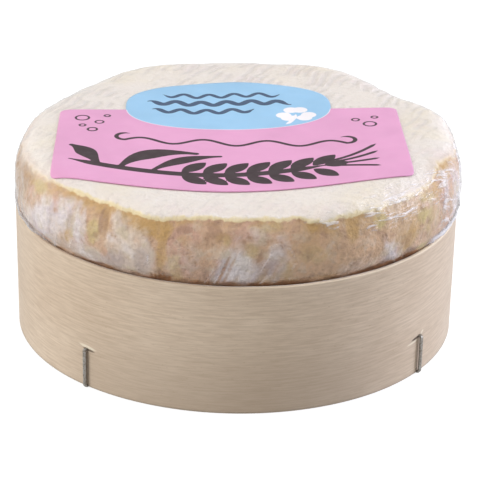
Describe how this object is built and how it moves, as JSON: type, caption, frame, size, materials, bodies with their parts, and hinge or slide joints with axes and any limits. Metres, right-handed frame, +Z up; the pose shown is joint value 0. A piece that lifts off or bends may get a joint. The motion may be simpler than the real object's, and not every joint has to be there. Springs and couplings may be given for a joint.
{
  "type": "boxed camembert cheese",
  "caption": "Small thick soft-ripened cheese wheel wrapped in clear film with a paper label, standing proud of an open round veneer box.",
  "frame": {"origin": "centre of the box's flat underside", "axes": "+Z up, -Y towards the front of the label, +X to the right as seen from the front; the box's lap seam is at the back"},
  "size_m": [0.086, 0.0878, 0.0403],
  "materials": {
    "veneer": "pale peeled poplar veneer, matt, with fine level grain",
    "board": "pale rough poplar board",
    "staple_wire": "thin bright wire, a little dulled",
    "cheese_in_film": "creamy white mould rind on top and ochre to tan on the side, seen through clear wrinkled film",
    "label_print": "satin printed paper, pink with a light blue oval and dark motifs"
  },
  "bodies": {
    "root": {"box_band": "veneer", "box_base": "board", "base_staple_1": "staple_wire", "base_staple_2": "staple_wire", "base_staple_3": "staple_wire", "base_staple_4": "staple_wire", "seam_staple_1": "staple_wire", "seam_staple_2": "staple_wire", "wrapped_cheese": "cheese_in_film", "label": "label_print"}
  },
  "joints": []
}
